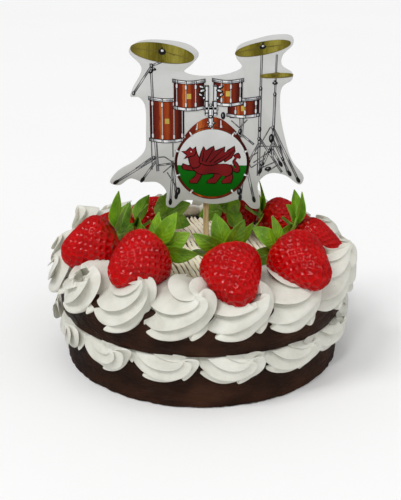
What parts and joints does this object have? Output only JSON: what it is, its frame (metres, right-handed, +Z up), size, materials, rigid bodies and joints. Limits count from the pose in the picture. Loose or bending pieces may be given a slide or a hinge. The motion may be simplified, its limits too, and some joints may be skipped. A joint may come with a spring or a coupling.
{
  "type": "drum kit cake",
  "caption": "Round two-layer chocolate cake with piped cream swirls, whole strawberries with leaves, and a drum kit card topper on a wooden stick.",
  "frame": {"origin": "middle of the cake's flat underside", "axes": "+Z up through the cake; -Y is the front, which the topper's print faces; +X to the viewer's right"},
  "size_m": [0.2225, 0.2227, 0.2261],
  "materials": {
    "chocolate": "dark chocolate coating, semi-gloss, spread with a knife",
    "cream": "warm greyish-white piped cream, soft satin",
    "ivory_cream": "ivory cream combed into ridges, brown in the grooves",
    "strawberry": "glossy bright red, netted with dimples",
    "leaf": "smooth satin green, yellow-green stalk",
    "card": "stiff white card with a printed front",
    "wood": "plain pale dowel"
  },
  "bodies": {
    "root": {"lower_layer": "chocolate", "filling": "cream", "upper_layer": "chocolate", "top_cream": "ivory_cream", "ruffle_01": "cream", "ruffle_02": "cream", "ruffle_03": "cream", "ruffle_04": "cream", "ruffle_05": "cream", "ruffle_06": "cream", "ruffle_07": "cream", "ruffle_08": "cream", "ruffle_09": "cream", "ruffle_10": "cream", "ruffle_11": "cream", "ruffle_12": "cream", "ruffle_13": "cream", "ruffle_14": "cream", "rosette_01": "cream", "rosette_02": "cream", "rosette_03": "cream", "rosette_04": "cream", "rosette_05": "cream", "rosette_06": "cream", "rosette_07": "cream", "rosette_08": "cream", "rosette_09": "cream", "rosette_10": "cream", "rosette_11": "cream", "rosette_12": "cream", "rosette_13": "cream", "rosette_14": "cream", "rosette_15": "cream", "rosette_16": "cream", "strawberry_1": "strawberry", "leaf_crown_1": "leaf", "strawberry_2": "strawberry", "leaf_crown_2": "leaf", "strawberry_3": "strawberry", "leaf_crown_3": "leaf", "strawberry_4": "strawberry", "leaf_crown_4": "leaf", "strawberry_5": "strawberry", "leaf_crown_5": "leaf", "strawberry_6": "strawberry", "leaf_crown_6": "leaf", "strawberry_7": "strawberry", "leaf_crown_7": "leaf", "strawberry_8": "strawberry", "leaf_crown_8": "leaf", "strawberry_9": "strawberry", "leaf_crown_9": "leaf", "topper_card": "card", "topper_stick": "wood"}
  },
  "joints": []
}
